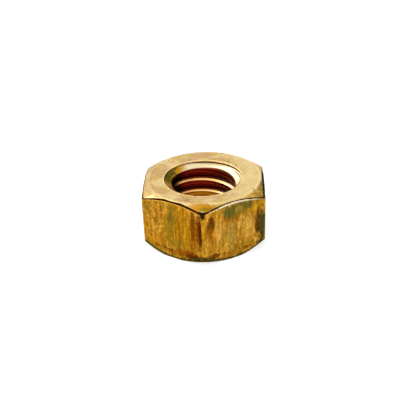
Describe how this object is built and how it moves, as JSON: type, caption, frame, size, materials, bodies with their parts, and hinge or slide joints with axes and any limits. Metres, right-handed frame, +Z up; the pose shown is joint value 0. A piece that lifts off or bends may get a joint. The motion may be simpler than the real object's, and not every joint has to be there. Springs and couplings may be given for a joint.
{
  "type": "hex nut",
  "caption": "Hexagonal brass nut with chamfered corners and a countersunk, right-hand threaded hole through its middle.",
  "frame": {"origin": "centre of the hexagon on the lower bearing face", "axes": "+Z up along the nut's height, towards the face with the wider chamfer; +X square to one wrench flat; one corner of the hexagon points along -Y"},
  "size_m": [0.0126, 0.0146, 0.0067],
  "materials": {
    "brass": "satin, tarnished, with drawn lines along the flats and brown stains at the edges and in the thread"
  },
  "bodies": {
    "root": {"hex_nut": "brass"}
  },
  "joints": []
}
